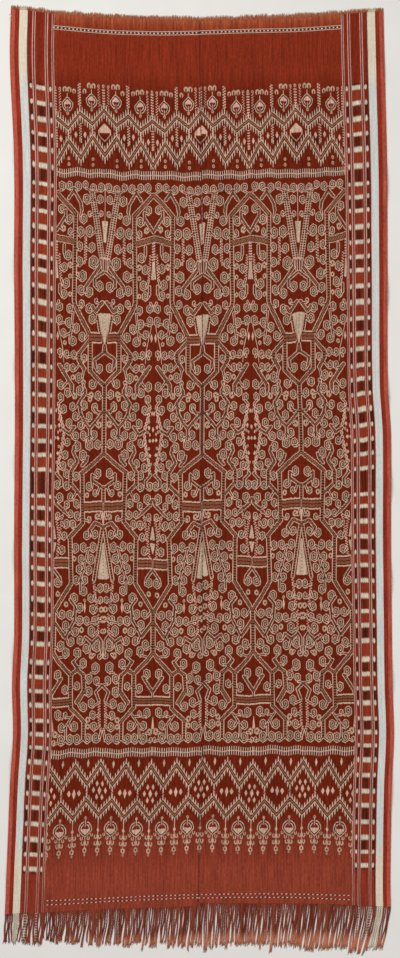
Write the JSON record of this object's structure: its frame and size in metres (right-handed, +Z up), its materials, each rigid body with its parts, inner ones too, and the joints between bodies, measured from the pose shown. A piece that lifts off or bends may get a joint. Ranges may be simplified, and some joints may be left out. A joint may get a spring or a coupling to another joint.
{
  "type": "ikat woven cloth",
  "caption": "Large warp-ikat blanket of two sewn panels lying flat, with a frayed cut edge, twined weft rows near the ends and a twisted warp fringe.",
  "frame": {"origin": "on the surface under the middle of the cloth, the middle of the bounding box's underside", "axes": "+Y along the warp towards the cut top edge, +X across the cloth to the viewer's right, +Z up out of its face"},
  "size_m": [1.0134, 2.4683, 0.0055],
  "materials": {
    "ikat_cotton": "warp-faced hand-spun cotton, tied and dyed red, dark brown and cream before weaving",
    "twined_weft": "two-colour twined cotton yarn, cream and dark",
    "twisted_warp": "warp ends twisted into plied strands, paler at the tips",
    "cut_warp": "cut and fraying warp ends, faded to orange tan"
  },
  "bodies": {
    "root": {"panel_left": "ikat_cotton", "panel_right": "ikat_cotton", "twined_heading_left": "twined_weft", "twined_heading_right": "twined_weft", "twined_foot_high_left": "twined_weft", "twined_foot_high_right": "twined_weft", "twined_foot_low_left": "twined_weft", "twined_foot_low_right": "twined_weft", "fringe_left": "twisted_warp", "fringe_right": "twisted_warp", "fray_left": "cut_warp", "fray_right": "cut_warp"}
  },
  "joints": []
}
